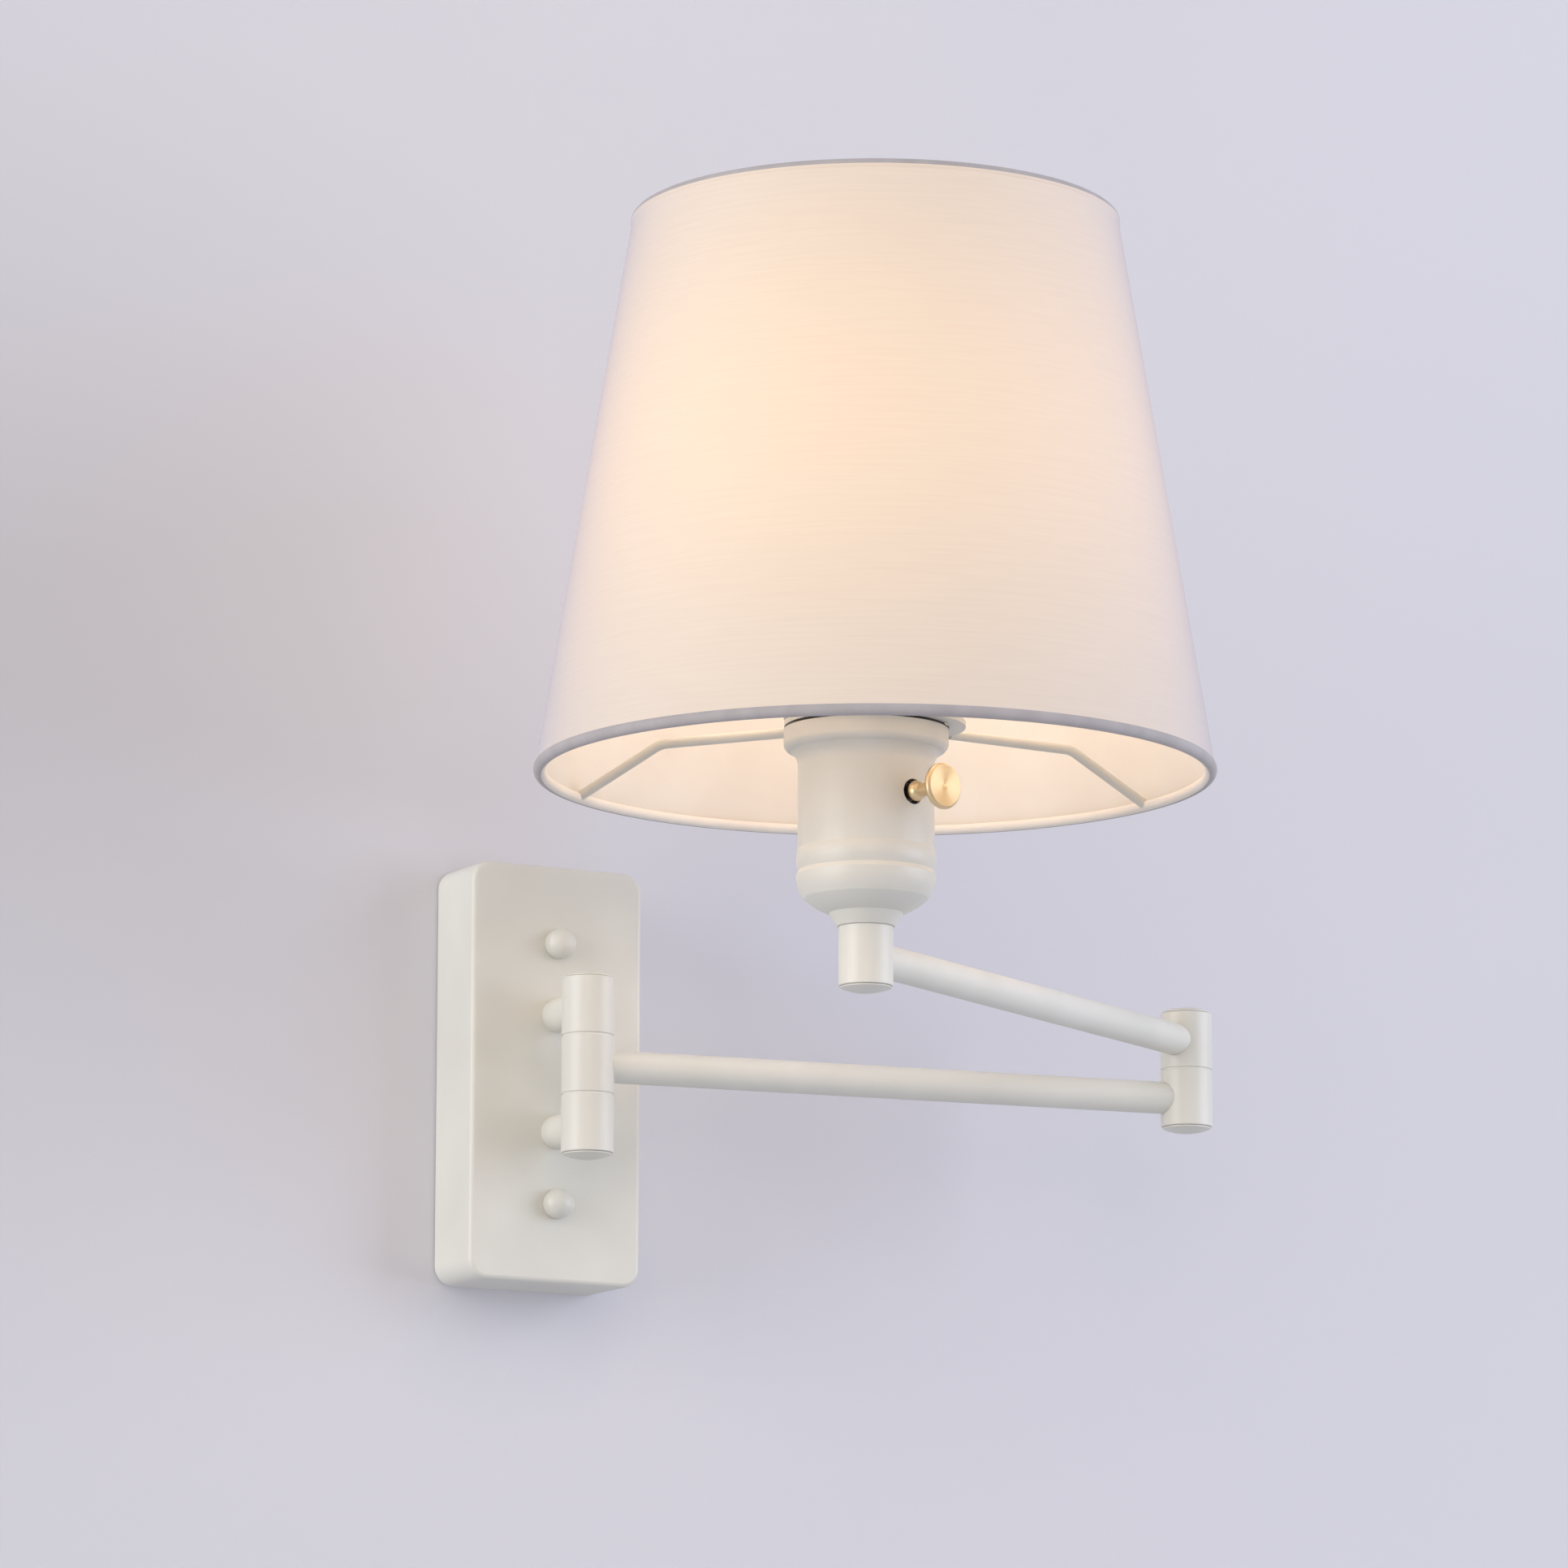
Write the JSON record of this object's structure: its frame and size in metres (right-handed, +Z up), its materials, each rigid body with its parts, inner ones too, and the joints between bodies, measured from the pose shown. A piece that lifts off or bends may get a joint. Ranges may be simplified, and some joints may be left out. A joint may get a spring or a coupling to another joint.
{
  "type": "articulating wall lamp",
  "caption": "Wall lamp on a hinged double swing arm: pressed wall plate, stacked hinge knuckles on hollow pins, turned lampholder cup with a rotary key, and a tapered fabric shade",
  "frame": {"origin": "centre of the back of the wall plate, on the wall", "axes": "+Z up; +Y into the wall, so the room is on -Y; +X to the right as seen from the room"},
  "size_m": [0.2746, 0.2713, 0.3031],
  "materials": {
    "off_white_paint": "matt powder coat",
    "zinc_plated_steel": "zinc plated",
    "satin_brass": "satin",
    "black_insulator": "moulded",
    "white_insulator": "moulded",
    "opal_glass": "opal",
    "cream_linen": "laminated plain weave"
  },
  "bodies": {
    "wall_mount": {"wall_plate": "off_white_paint", "mounting_bracket": "zinc_plated_steel", "bracket_studs": "zinc_plated_steel", "cap_nuts": "off_white_paint", "hinge_post_upper": "off_white_paint", "hinge_post_lower": "off_white_paint", "post_nuts": "zinc_plated_steel", "terminal_block": "white_insulator", "terminal_screws": "zinc_plated_steel", "block_screw": "zinc_plated_steel", "earth_screw": "satin_brass", "earth_washer": "satin_brass", "knuckle_upper": "off_white_paint", "knuckle_lower": "off_white_paint", "wall_hinge_pin": "zinc_plated_steel", "wall_hinge_nuts": "satin_brass", "wall_hinge_washers": "white_insulator", "wall_hinge_end_caps": "off_white_paint"},
    "inner_arm": {"knuckle_middle": "off_white_paint", "inner_arm_tube": "off_white_paint", "elbow_knuckle_lower": "off_white_paint", "elbow_pin": "zinc_plated_steel", "elbow_nuts": "satin_brass", "elbow_washer": "white_insulator", "elbow_cap_lower": "off_white_paint"},
    "outer_arm": {"elbow_knuckle_upper": "off_white_paint", "elbow_cap_upper": "off_white_paint", "outer_arm_tube": "off_white_paint", "head_knuckle": "off_white_paint", "head_cap": "off_white_paint", "lampholder_nipple": "zinc_plated_steel", "nipple_nuts": "satin_brass", "lampholder_cup": "off_white_paint", "lampholder_base": "white_insulator", "switch_carrier": "white_insulator", "switch_body": "black_insulator", "lampholder_sleeve": "white_insulator", "screw_shell": "satin_brass", "centre_contact": "satin_brass", "bulb_glass": "opal_glass", "bulb_board": "white_insulator", "bulb_cap": "zinc_plated_steel", "bulb_insulator": "black_insulator", "bulb_contact": "zinc_plated_steel", "shade_ring_nut": "white_insulator", "shade_hub": "off_white_paint", "shade_spokes": "off_white_paint", "shade_ring_bottom": "zinc_plated_steel", "shade_ring_top": "zinc_plated_steel", "shade_fabric": "cream_linen"},
    "switch_knob": {"switch_spindle": "zinc_plated_steel", "switch_key": "satin_brass"}
  },
  "joints": [
    {"name": "wall_hinge", "type": "hinge", "parent": "wall_mount", "child": "inner_arm", "pos_m": [0, -0.0445, 0], "axis": [0, 0, 1], "range_deg": [-171.8, 8.2]},
    {"name": "elbow_hinge", "type": "hinge", "parent": "inner_arm", "child": "outer_arm", "pos_m": [0.19499, -0.0726, 0.009], "axis": [0, 0, 1], "range_deg": [-13.2, 296.8]},
    {"name": "switch_turn", "type": "hinge", "parent": "outer_arm", "child": "switch_knob", "pos_m": [0.02611, -0.1701, 0.06425], "axis": [0.2538, -0.9673, 0], "continuous": true}
  ]
}
